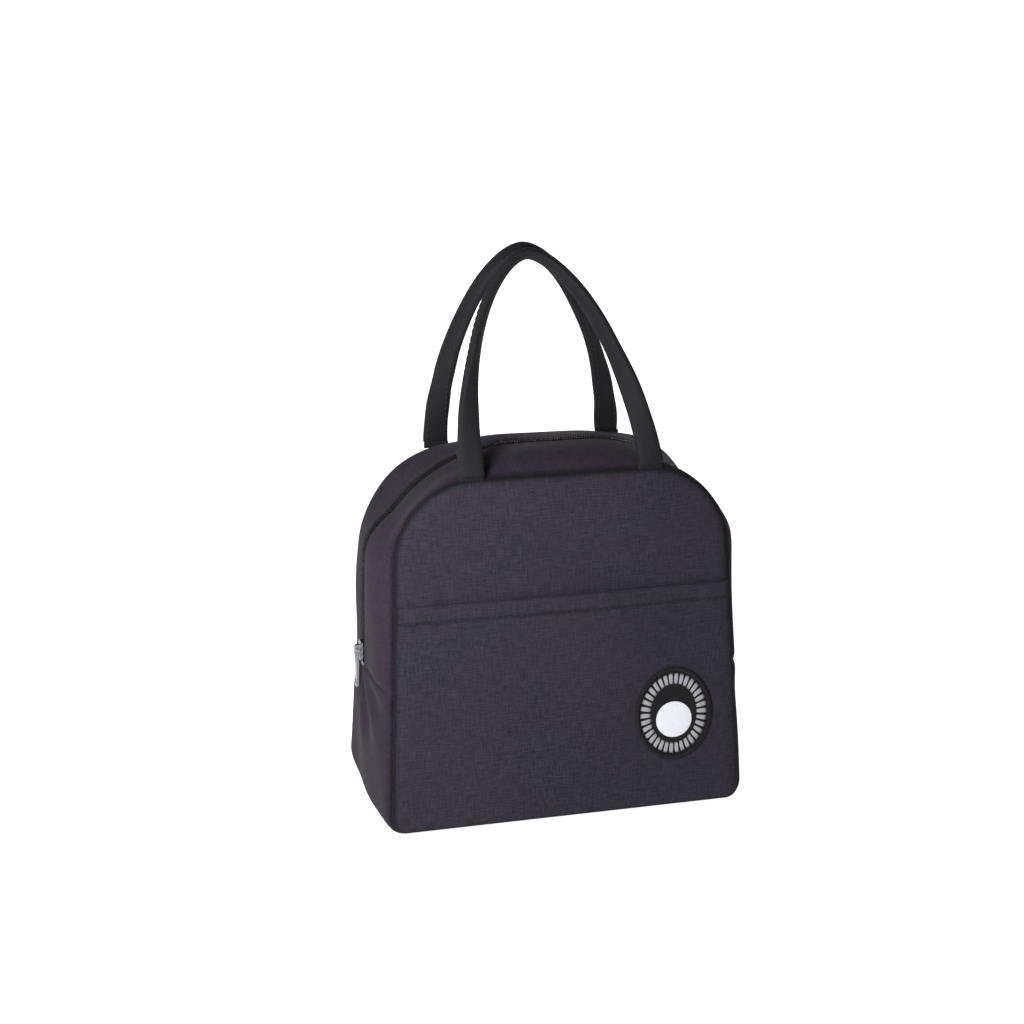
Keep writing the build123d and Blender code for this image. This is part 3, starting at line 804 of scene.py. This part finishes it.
def band_surface(side, depth, step):
    """One band beside the zipper, from its left end over the top to its right end."""
    edge = SLOT_HALF if depth <= CLOTH else FOAM_EDGE if depth < CLOTH + FOAM else FOIL_EDGE
    length = np.linspace(LEFT_END, RIGHT_END, int((RIGHT_END - LEFT_END) / GUSSET_STEP / step))
    share = (bunched(BAND_COLUMNS // step) + 1) / 2
    y = side * (edge + (reach_at(length) - depth - edge) * share)
    return gusset_surface(length, y, depth)


# %% Build the gusset
made = layered("gusset_strip", strip_surface,
               {"cloth": ["gusset_lower"], "foam": ["gusset_foam_lower"], "foil": ["gusset_lining_lower"]},
               side_cloth)
_, uv = strip_surface(0.0, 1)
# painted shade along the strip's seams
painted_seam_shade(made["cloth"][0], reach_at(uv[:, 0, 0]) - np.abs(uv[..., 1]))
for piece, slot, _ in made.values():
    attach(piece, "bag_body")
declare(made)
for side, word in BODIES.items():
    band = f"{word}_zip_band"
    nodes = {"cloth": [band], "foam": [f"{band}_foam"], "foil": [f"{band}_lining"]}
    made = layered(band, lambda depth, step: band_surface(side, depth, step), nodes, side_cloth)
    _, uv = band_surface(side, 0.0, 1)
    # painted shade along the band's seams
    painted_seam_shade(made["cloth"][0], reach_at(uv[:, 0, 0]) - np.abs(uv[..., 1]))
    for piece, slot, _ in made.values():
        bend(piece)
    declare(made)

# %% [markdown]
# ## Bound seams inside
# Inside the bag the raw edges of a panel and the gusset are wrapped in a narrow tape, which looks like a
# square cord all round the panel. A bevelled curve could draw it, but one sweep gives it texture
# coordinates along its length too.

# %% Bindings
BINDING = 3.0 * MM
BINDING_INSET = CLOTH + FOAM + FOIL + BINDING / 2
BINDING_HALF, BINDING_LIFT = BINDING / 2 * 0.94, 0.2 * MM  # a little slimmer than its room, and off the foil
BINDING_LOOP = outline(BASE_HALF - BINDING_INSET, TOP_HALF - BINDING_INSET, BINDING_INSET,
                       SEAM_TOP - BINDING_INSET, PANEL_CORNER - BINDING_INSET, BASE_CORNER - BINDING_INSET)
for side, word in BODIES.items():
    x, z = BINDING_LOOP.T
    centre = panel_place(side, x, z, np.full(len(x), -BINDING_INSET + BINDING_LIFT))
    along = np.roll(centre, -1, 0) - np.roll(centre, 1, 0)
    along /= np.linalg.norm(along, axis=1, keepdims=True)
    outward = np.array([0, side * math.cos(LEAN), math.sin(LEAN)])
    across = np.cross(along, outward)
    piece = sweep(f"{word}_binding", centre, np.tile(outward, (len(x), 1)), across, BINDING_HALF,
                  BINDING_HALF, edge_binding, around=12, squareness=4, wrap=True)
    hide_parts(f"{word}_binding_lower", f"{word}_binding_upper")
    bend(piece)
print("binding length, mm:", round(along_line(centre)[-1] / MM))

# %% [markdown]
# ## Zipper
# The zipper is two cloth tapes, each with a nylon thread that is coiled into loops along its edge. The
# loops of one tape sit in the gaps of the other. A bump map could hint at them, but they show against the
# light where the zipper turns a corner. Each loop shows as a short rounded bar across the zipper, so one
# bar is repeated along the curve, half a pitch further on the other side.

# %% Tapes and coils
TAPE_TAIL = 74 * MM  # the tapes end at this height, behind the strip
TAPE_INNER, TAPE_OUTER, TAPE_THICK = 0.4 * MM, 13.9 * MM, 0.6 * MM
COIL_START = 84 * MM  # and the teeth at this one, above the cross seam
COIL_PITCH = 1.4 * MM
COIL_BAR = np.array([2.7, 1.05, 1.15]) * MM  # length across the zipper, width along it, height
COIL_PLACE, COIL_SINK = 1.45 * MM, 0.35 * MM  # its middle, beside the zipper's middle and in the cloth


def gusset_line(length, y):
    """Points on the gusset's outer face at one place y across it, with directions outwards and along."""
    here, out, run, rise = gusset_frame(length, np.full((len(length), 1), y))
    return (here + out * rise[..., None])[:, 0], out[:, 0], run[:, 0]


for side, word in BODIES.items():
    ends = {-1: "left", 1: "right"}[side]
    length = np.linspace(side_length(TAPE_TAIL, -1), side_length(TAPE_TAIL, 1), 300)
    y = side * np.linspace(TAPE_INNER, TAPE_OUTER, 9) + 0 * length[:, None]
    top, uv = gusset_surface(length, y, CLOTH + SLIP)
    under, _ = gusset_surface(length, y, CLOTH + TAPE_THICK)
    piece = wall(f"{word}_zipper_tape_cloth", top, under, uv, zipper_cloth)
    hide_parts(f"{word}_zipper_tape", f"{ends}_zipper_end_tape")
    bend(piece)

    first, last = side_length(COIL_START, -1), side_length(COIL_START, 1)
    bars = np.arange(first + COIL_PITCH * (0.4 + 0.25 * (side + 1)), last, COIL_PITCH)
    here, out, along = gusset_line(bars, side * COIL_PLACE)
    here = here - out * COIL_SINK
    piece = beads(f"{word}_zipper_teeth", here, np.cross(out, along), along, out, COIL_BAR, nylon)
    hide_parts(f"{word}_zipper_coil", f"{ends}_zipper_end_coil")
    bend(piece)
print("zipper bars on each side:", len(bars))

# %% [markdown]
# ## Pocket
# The pocket is a second piece of the same cloth, sewn into the seam at the sides and the base and open
# along the top, where its edge is turned down by 10 mm and stitched. A turned hem is thicker, so it shows
# as a band. The pocket lies on the panel, and its free edge stands away a little where a hand goes in. It
# could be draped over the panel by simulation, but it follows the panel so closely that it takes the
# panel's own surface and adds a small height to it.

# %% Pocket sheet
POCKET_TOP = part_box("pocket_hem")[1].z
HEM = 10 * MM
POCKET_GAP, POCKET_THICK, HEM_THICK = 0.4 * MM, 1.1 * MM, 0.6 * MM
GAP_EASE, PINCH_EASE = 5 * MM, 4 * MM  # how far from the seam the gap and the thickness are full
PINCHED = 0.35  # the share of its thickness that the cloth keeps in the seam
GAPE, GAPE_X, GAPE_HALF = 1.8 * MM, 22 * MM, 48 * MM  # how far the free edge stands away, and where
GAPE_START = 92 * MM  # the height where it starts to
HEM_LINE = POCKET_TOP - HEM + 0.9 * MM  # height of the hem's stitches
DIP_DEPTH, DIP_WIDTH = 0.75 * MM, 0.8 * MM  # the stitches pull a groove into the cloth
PUCKER_LENGTH, PUCKER_HEIGHT = 34 * MM, 0.22 * MM  # small folds near the hem


def pocket_lift(x, z):
    """How far the pocket's inner face stands off the panel: a constant, less at the seam, and more near the
    open edge to the right of the middle."""
    gape = GAPE * np.exp(-((x - GAPE_X) / GAPE_HALF) ** 2)
    gape = gape * smooth((z - GAPE_START) / (POCKET_TOP - GAPE_START)) ** 2
    return (POCKET_GAP + gape) * smooth(from_seam(x, z) / GAP_EASE) + SLIP


def pocket_face(x, z):
    """How far the pocket's outer face stands off the panel: its inner face, its thickness and the hem's."""
    hem = smooth((z - POCKET_TOP + HEM + 0.5 * MM) / (1.0 * MM))
    pinch = PINCHED + (1 - PINCHED) * smooth(from_seam(x, z) / PINCH_EASE)
    dip = DIP_DEPTH * np.exp(-((z - HEM_LINE) / DIP_WIDTH) ** 2)
    puckers = waves(x, z, PUCKER_LENGTH, 31) * PUCKER_HEIGHT
    puckers = puckers * smooth((z - POCKET_TOP + 2.5 * HEM) / (1.5 * HEM))
    return pocket_lift(x, z) + (POCKET_THICK + HEM_THICK * hem + puckers - dip) * pinch


def pocket_heights():
    """Rows of the pocket: the panel's own, and closer ones at the hem."""
    rows = left_side(SEAM_SINK)[:, 1]
    rows = rows[rows < POCKET_TOP - HEM - 3 * MM]
    hem = np.concatenate([np.linspace(POCKET_TOP - HEM - 3 * MM, POCKET_TOP - HEM + 3 * MM, 16),
                          np.linspace(POCKET_TOP - HEM + 3.5 * MM, POCKET_TOP, 7)])
    return np.concatenate([rows, hem])


print("rows of the pocket:", len(pocket_heights()))

# %% Build the pocket
x, z = panel_grid(pocket_heights(), PANEL_COLUMNS, SEAM_SINK)
rise = panel_rise(-1, x, z)
outer = panel_place(-1, x, z, rise + pocket_face(x, z))
inner = panel_place(-1, x, z, rise + pocket_lift(x, z))
pocket = wall("pocket_cloth", outer, inner, np.stack([x, z * 1.0075], -1), outer_cloth)
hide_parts("pocket_sheet_lower", "pocket_sheet_upper", "pocket_hem", "pocket_seam_lower",
            "pocket_seam_upper")
# painted shade on the pocket: along its seam, and lighter along the hem's stitches
from_stitches = np.abs(z - HEM_LINE) + 0.9 * MM  # the hem's groove is shallower than a seam
painted_seam_shade(pocket, np.minimum(from_seam(x, z) - SEAM_SINK, from_stitches))
bend(pocket)
print("pocket top at, mm:", round(POCKET_TOP / MM, 1))

# %% [markdown]
# ## Stitches
# A lockstitch shows as a row of short thread bars, each about 3 mm long, with a small gap where the thread
# goes down through the cloth. A dashed line in the cloth's colour would do from far away. Here each bar is
# one bead that lies along the seam and is half sunk in the cloth, so that it catches the light.

# %% Stitch rows
STITCH, STITCH_PITCH, THREAD = 2.9 * MM, 3.6 * MM, 0.6 * MM
STITCH_SINK = 0.05 * MM


def pocket_point(x, z):
    """Point on the pocket's outer face."""
    return panel_place(-1, x, z, panel_rise(-1, x, z) + pocket_face(x, z))


def stitch_row(name, points, outward, mouth=True):
    """Stitches along a line of points one pitch apart: each bar reaches from point to point, less a gap."""
    along = np.diff(points, axis=0)
    along /= np.linalg.norm(along, axis=1, keepdims=True)
    out = (outward[:-1] + outward[1:]) / 2
    out -= (out * along).sum(1, keepdims=True) * along
    out /= np.linalg.norm(out, axis=1, keepdims=True)
    middle = (points[:-1] + points[1:]) / 2 - out * STITCH_SINK
    size = np.array([STITCH, THREAD, THREAD])
    piece = beads(name, middle, along, np.cross(out, along), out, size, dark_thread)
    return bend(piece) if mouth else piece


# %% Hem and zipper stitches
ROW_END, BAND_ROW = 3 * MM, SLOT_HALF + 2.0 * MM  # from the hem's ends, and from the zipper's middle
edge = np.interp(HEM_LINE, *left_side(0)[:, ::-1].T)
row_x = np.arange(edge + ROW_END, -edge - ROW_END, STITCH_PITCH)
front_out = np.array([0, -math.cos(LEAN), math.sin(LEAN)])
stitch_row("hem_stitches", pocket_point(row_x, np.full(len(row_x), HEM_LINE)),
           np.tile(front_out, (len(row_x), 1)))
for side, word in BODIES.items():
    row = np.arange(LEFT_END + 2 * MM, RIGHT_END - 2 * MM, STITCH_PITCH)
    here, out, _ = gusset_line(row, side * BAND_ROW)
    stitch_row(f"{word}_band_stitches", here, out)
print("hem stitches:", len(row_x) - 1)

# %% [markdown]
# ## Badge
# The badge is an oval of black twill. A satin-stitched rim covers its raw edge, and on it are a ring of
# plain grey bars and a round off-white satin spot. Satin stitch is thread laid side by side, so its surface
# is a shallow dome with fine ribs. Ribs from a bump map would look printed at the spot's edge, so they are
# modelled. The badge bears no words and no picture.

# %% Shape of the badge
BADGE_X, BADGE_Z = 61.5 * MM, 57.5 * MM
BADGE_A, BADGE_B, BADGE_RIM = 22.5 * MM, 27.0 * MM, 2.0 * MM  # half its width and height, and its rim
PATCH_THICK, RIM_PROUD = 1.0 * MM, 0.6 * MM
RING_A, RING_B, RING_BAND = 20.0 * MM, 23.75 * MM, 6.5 * MM  # half the ring's width and height, and its band
SPOT, SPOT_DROP = 10.5 * MM, 3.5 * MM  # the spot's radius, and how far below the badge's middle it sits
SATIN = 0.6 * MM  # thread spacing, drawn coarser than the real 0.35 mm


def badge_place(u, v, out):
    """Point of the badge: u to the right and v up from its centre, and out from the pocket's outer face."""
    x, z = BADGE_X + u, BADGE_Z + v * math.cos(LEAN)
    return panel_place(-1, x, z, panel_rise(-1, x, z) + pocket_face(x, z) + out)


def disc_grid(rows, cols):
    """A square grid mapped to a unit disc: (u sqrt(1 - v^2/2), v sqrt(1 - u^2/2)), which has no pole."""
    u, v = np.meshgrid(np.linspace(-1, 1, rows), np.linspace(-1, 1, cols), indexing="ij")
    return u * np.sqrt(1 - v ** 2 / 2), v * np.sqrt(1 - u ** 2 / 2)


def badge_disc(name, a, b, drop, base, height, material, nodes, rows=60, cols=60, ribs=0.0):
    """A domed disc on the badge: height times (1 - r^4), with ribs across u."""
    u, v = disc_grid(rows, cols)
    r = np.hypot(u, v)
    rib = ribs * np.abs(np.cos(np.pi * u * a / SATIN)) * (1 - 0.4 * r ** 2)
    top = badge_place(u * a, v * b - drop, base + height * (1 - 0.35 * r ** 4) + rib)
    under = badge_place(u * a, v * b - drop, base + 0 * r)
    piece = wall(name, top, under, np.stack([u * a, v * b], -1), material)
    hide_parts(*nodes)
    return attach(piece, "bag_body")


badge_disc("badge_twill_patch", BADGE_A - 0.5 * BADGE_RIM, BADGE_B - 0.5 * BADGE_RIM, 0, SLIP, PATCH_THICK,
           badge_twill, ["badge_patch"])
badge_disc("badge_satin_spot", SPOT, SPOT, SPOT_DROP, PATCH_THICK, 0.8 * MM, white_thread,
           ["badge_disc"], rows=176, cols=40, ribs=0.16 * MM)
print("ribs across the spot:", round(2 * SPOT / SATIN))

# %% Satin rim
theta = np.linspace(0, 2 * np.pi, 1100, endpoint=False)
line_u, line_v = (BADGE_A - BADGE_RIM / 2) * np.cos(theta), (BADGE_B - BADGE_RIM / 2) * np.sin(theta)
run = np.cumsum(np.hypot(np.gradient(line_u), np.gradient(line_v)))
ribs = 1 + 0.1 * np.cos(2 * np.pi * np.round(run[-1] / SATIN) * run / run[-1])
centre = badge_place(line_u, line_v, np.full(len(theta), (PATCH_THICK + RIM_PROUD) / 2))
along = np.roll(centre, -1, 0) - np.roll(centre, 1, 0)
along /= np.linalg.norm(along, axis=1, keepdims=True)
rim = sweep("badge_satin_rim", centre, np.tile(front_out, (len(theta), 1)), np.cross(along, front_out),
            BADGE_RIM / 2 * 1.1 * ribs, (PATCH_THICK + RIM_PROUD) / 2 * ribs, black_thread, around=12,
            squareness=2.4, wrap=True)
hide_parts("badge_border")
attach(rim, "bag_body")
print("rim length, mm:", round(run[-1] / MM))

# %% Ring of bars
BARS, THREADS = 34, 5
THREAD_STEP = 0.118  # from one thread of a bar to the next, as a share of the step between bars
BAR_THREAD = np.array([6.2, 0.75, 0.8]) * MM  # length, width and height of one thread
BAR_LIFT = 0.1 * MM  # how far a thread's middle lies above the twill
step = (np.arange(THREADS) - (THREADS - 1) / 2) * THREAD_STEP
angle = (np.arange(BARS)[:, None] + step).ravel() * 2 * np.pi / BARS
mid_a, mid_b = RING_A - RING_BAND / 2, RING_B - RING_BAND / 2
bar_u, bar_v = mid_a * np.cos(angle), mid_b * np.sin(angle)
height = np.full(len(angle), PATCH_THICK + BAR_LIFT)
here = badge_place(bar_u, bar_v, height)
radial = badge_place(bar_u * 1.1, bar_v * 1.1, height) - here
radial /= np.linalg.norm(radial, axis=1, keepdims=True)
ring = beads("badge_ring_bars", here, radial, np.cross(front_out, radial),
             np.tile(front_out, (len(angle), 1)), BAR_THREAD, grey_thread)
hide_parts("badge_ring")
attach(ring, "bag_body")
print("badge bars:", BARS, "of", THREADS, "threads")

# %% [markdown]
# ## Handles
# Each handle is one strap of black webbing, folded double and sewn, whose two ends go down into the top
# seam of a panel. It is wide and flat at its feet, and on its way up each leg turns edgeways and narrows,
# as a soft strap does when two handles are held together. A strip on a curve modifier would twist where it
# likes, so here the line and the turn are both formulas. The line is half of a superellipse, leaning to
# the left, and a rounded section is carried along it.

# %% Line of a handle
FOOT_X, FOOT_Y = 51.0 * MM, -35.5 * MM  # the front handle's feet
FOOT_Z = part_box("front_handle")[0].z
RISE, SKEW = 115 * MM, -13 * MM  # how high it rises, and how far its top is off to the left
BACK_SHIFT = -5 * MM  # the back handle is sewn on a little further left
ARCH_POWER = 1.7  # 2 would be a half ellipse, and less is more pointed
TWIST, TWIST_END = math.radians(-55), 0.65  # a leg's turn, done at this share of the rise
FOOT_HALF, GRIP_HALF, STRAP_HALF = 7.0 * MM, 4.5 * MM, 2.5 * MM  # half widths, and half the thickness
HANDLE_GAP = 0.25 * MM  # half the room between the two handles
APEX_Y = -HANDLE_GAP - GRIP_HALF * math.sin(-TWIST) - STRAP_HALF * math.cos(TWIST)


def arch(turn, shift):
    """Centre line of a handle, for a turn from 0 at its right foot to pi at its left foot: a half
    superellipse whose height is sin(turn)^(2/ARCH_POWER), leaning to the other handle and to the left."""
    height = np.abs(np.sin(turn)) ** (2 / ARCH_POWER)
    across = np.sign(np.cos(turn)) * np.abs(np.cos(turn)) ** (2 / ARCH_POWER)
    x = shift + FOOT_X * across + (SKEW - shift) * height
    point = np.stack([x, FOOT_Y + (APEX_Y - FOOT_Y) * height, FOOT_Z + RISE * height], -1)
    return point, height


def strap_lines(side):
    """Stations along a handle, evenly spaced: centre, direction across the strap, direction out of its
    face, half its width and its share of the rise. Each leg turns as it rises."""
    shift = BACK_SHIFT if side > 0 else 0
    turn = np.linspace(0, np.pi, 4001)
    run = along_line(arch(turn, shift)[0])
    centre, height = arch(np.interp(np.linspace(0, run[-1], 220), run, turn), shift)
    along = np.gradient(centre, axis=0)
    along[0], along[-1] = [0, 0, 1], [0, 0, -1]
    along /= np.linalg.norm(along, axis=1, keepdims=True)
    sideways = np.cross([0.0, 1.0, 0.0], along)
    sideways /= np.linalg.norm(sideways, axis=1, keepdims=True)
    turned = (TWIST * smooth(height / TWIST_END))[:, None]
    across = sideways * np.cos(turned) + np.cross(along, sideways) * np.sin(turned)
    face = np.cross(along, across)
    half = FOOT_HALF + (GRIP_HALF - FOOT_HALF) * height
    flip = np.array([1, -side, 1])
    return centre * flip, across * flip, face * flip, half, height


print("handle's top, mm:", round((FOOT_Z + RISE) / MM))

# %% Build the handles
SQUEEZE, SQUEEZE_LENGTH = 0.05, 26 * MM  # how much the strap's width varies, and over what length
WAVE, WAVE_LENGTH = 0.5 * MM, 45 * MM  # how far its line wavers
EDGE_ROW = 2.0 * MM  # the stitches, from the strap's edges and from its ends
for side, word in BODIES.items():
    centre, across, face, half, height = strap_lines(side)
    run = along_line(centre)
    soft = 1 + SQUEEZE * waves(run, run * 0, SQUEEZE_LENGTH, 40 + side)
    waver = waves(run, run * 0, WAVE_LENGTH, 50 + side) * WAVE * smooth(height * 6)
    centre = centre + face * waver[:, None]
    strap = sweep(f"{word}_strap", centre, face, across, half * soft, STRAP_HALF * (2 - soft), webbing,
                  around=20, squareness=3.2)
    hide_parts(f"{word}_handle")
    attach(strap, f"{word}_handle_body")
    for edge in (-1, 1):
        line = centre + across * (edge * (half * soft - EDGE_ROW))[:, None] + face * STRAP_HALF * 0.97
        picks = np.arange(EDGE_ROW, run[-1] - EDGE_ROW, STITCH_PITCH)
        picks = np.interp(picks, run, np.arange(len(run)))
        low, part = picks.astype(int), (picks % 1)[:, None]
        points = line[low] * (1 - part) + line[np.minimum(low + 1, len(run) - 1)] * part
        name = f"{word}_strap_stitches_{'left' if edge < 0 else 'right'}"
        row = stitch_row(name, points, face[low], mouth=False)
        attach(row, f"{word}_handle_body")
print("handle length, mm:", round(run[-1] / MM))

# %% Strap ends sewn to the panels
END_HIGH, END_THICK = 2.6 * MM, 2.2 * MM
END_SINK, END_RISE = 0.3 * MM, 0.9 * MM  # into the panel, and above the seam
for side, word in BODIES.items():
    ends = []
    for foot in (-1, 1):
        u, v = np.meshgrid(np.linspace(-1, 1, 24), np.linspace(0, 1, 10), indexing="ij")
        x = foot * FOOT_X + (BACK_SHIFT if side > 0 else 0) + u * FOOT_HALF
        z = SEAM_TOP - END_HIGH + v * (END_HIGH + END_RISE)
        rise = panel_rise(side, x, z)
        thick = END_THICK * (0.4 + 0.6 * v) * (1 - 0.5 * np.abs(u) ** 10) * (1 - 0.6 * (1 - v) ** 8)
        outer, inner = panel_place(side, x, z, rise + thick), panel_place(side, x, z, rise - END_SINK)
        name = f"{word}_strap_end_{'left' if foot < 0 else 'right'}"
        end = wall(name, outer, inner, np.stack([x, z], -1), webbing)
        if foot < 0:
            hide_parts(f"{word}_handle_anchors")
        ends.append(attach(end, f"{word}_mouth"))
print("strap ends:", [end.name for end in ends])
